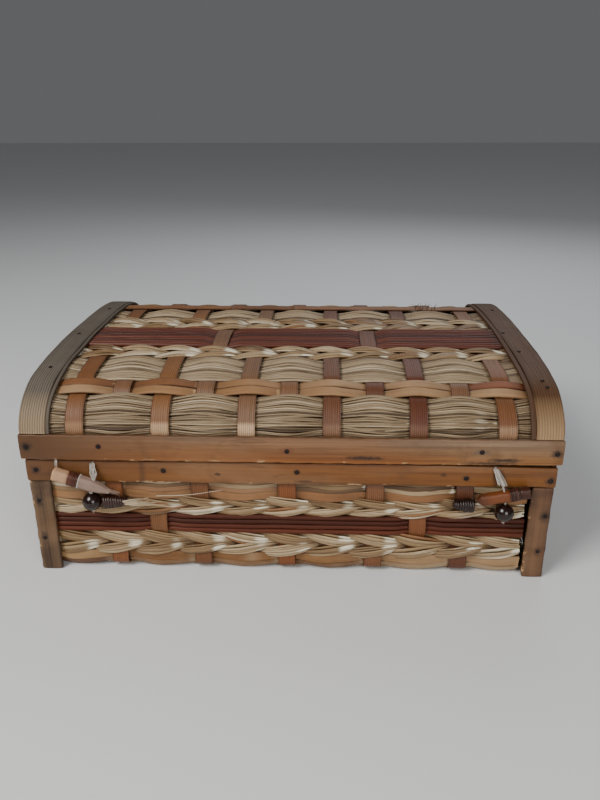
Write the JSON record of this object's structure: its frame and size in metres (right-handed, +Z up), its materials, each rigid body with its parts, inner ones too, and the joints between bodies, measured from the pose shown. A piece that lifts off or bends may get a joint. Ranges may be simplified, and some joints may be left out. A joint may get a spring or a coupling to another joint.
{
  "type": "woven storage case",
  "caption": "Low woven seagrass storage case with a domed hinged lid, bamboo slat frame, and corded peg and bead closures in front",
  "frame": {"origin": "centre of the footprint on the resting plane, under the middle of the case", "axes": "+Z up, front with the closures faces -Y, +X along the length towards the viewer's right"},
  "size_m": [0.36, 0.2911, 0.1405],
  "materials": {
    "woven_seagrass": "dry woven leaf and cane, matt with a slight sheen",
    "bamboo_rail": "golden brown bamboo, satin, worn edges",
    "bamboo_slat": "weathered bamboo slat, satin",
    "edge_band": "ridged split cane band, satin",
    "dark_cane": "dark brown lacquered cane wrap",
    "dark_bead": "glossy dark turned wood",
    "pale_peg": "pale split bamboo, matt",
    "brown_peg": "orange brown split bamboo, satin",
    "cord": "off-white frayed cotton cord",
    "nail_iron": "dark rusted nail heads"
  },
  "bodies": {
    "base": {"base_mat": "woven_seagrass", "base_end_mat_left": "woven_seagrass", "base_end_mat_right": "woven_seagrass", "base_rail_front": "bamboo_rail", "base_rail_back": "bamboo_rail", "base_rail_left": "bamboo_rail", "base_rail_right": "bamboo_rail", "base_inner_rail_front": "bamboo_slat", "base_inner_rail_back": "bamboo_slat", "base_inner_rail_left": "bamboo_slat", "base_inner_rail_right": "bamboo_slat", "corner_slat_front_left": "bamboo_slat", "corner_slat_back_left": "bamboo_slat", "corner_slat_front_right": "bamboo_slat", "corner_slat_back_right": "bamboo_slat", "end_slat_front_left": "bamboo_slat", "end_slat_back_left": "bamboo_slat", "end_slat_front_right": "bamboo_slat", "end_slat_back_right": "bamboo_slat", "hinge_ring_left": "dark_cane", "hinge_ring_right": "dark_cane", "peg_socket_left": "dark_cane", "peg_socket_right": "dark_cane", "base_nail_1": "nail_iron", "base_nail_2": "nail_iron", "base_nail_3": "nail_iron", "base_nail_4": "nail_iron", "base_nail_5": "nail_iron"},
    "lid": {"lid_mat": "woven_seagrass", "lid_end_mat_left": "woven_seagrass", "lid_end_mat_right": "woven_seagrass", "lid_rail_front": "bamboo_rail", "lid_rail_back": "bamboo_rail", "lid_rail_left": "bamboo_rail", "lid_rail_right": "bamboo_rail", "lid_inner_rail_front": "bamboo_slat", "lid_inner_rail_back": "bamboo_slat", "lid_inner_rail_left": "bamboo_slat", "lid_inner_rail_right": "bamboo_slat", "lid_band_left": "edge_band", "lid_inner_band_left": "bamboo_slat", "lid_band_right": "edge_band", "lid_inner_band_right": "bamboo_slat", "lid_nail_1": "nail_iron", "lid_nail_2": "nail_iron", "lid_nail_3": "nail_iron", "lid_nail_4": "nail_iron", "lid_nail_5": "nail_iron"},
    "toggle_left": {"closure_cord_left": "cord", "bead_left": "dark_bead"},
    "toggle_right": {"closure_cord_right": "cord", "bead_right": "dark_bead"},
    "peg_left": {"peg_left": "pale_peg", "peg_binding_left": "dark_cane"},
    "peg_right": {"peg_right": "brown_peg", "peg_binding_right": "dark_cane"}
  },
  "joints": [
    {"name": "lid_hinge", "type": "hinge", "parent": "base", "child": "lid", "pos_m": [0, 0.1383, 0.0874], "axis": [-1, 0, 0], "range_deg": [0, 105]},
    {"name": "toggle_left_swing", "type": "hinge", "parent": "lid", "child": "toggle_left", "pos_m": [-0.1315, -0.1377, 0.0866], "axis": [-1, 0, 0], "range_deg": [0, 80]},
    {"name": "toggle_right_swing", "type": "hinge", "parent": "lid", "child": "toggle_right", "pos_m": [0.1364, -0.1377, 0.0866], "axis": [-1, 0, 0], "range_deg": [0, 80]},
    {"name": "peg_left_tilt", "type": "hinge", "parent": "toggle_left", "child": "peg_left", "pos_m": [-0.13232, -0.1413, 0.0707], "axis": [0, 1, 0], "range_deg": [-8, 8]},
    {"name": "peg_right_tilt", "type": "hinge", "parent": "toggle_right", "child": "peg_right", "pos_m": [0.1436, -0.1413, 0.0675], "axis": [0, 1, 0], "range_deg": [-8, 8]}
  ]
}
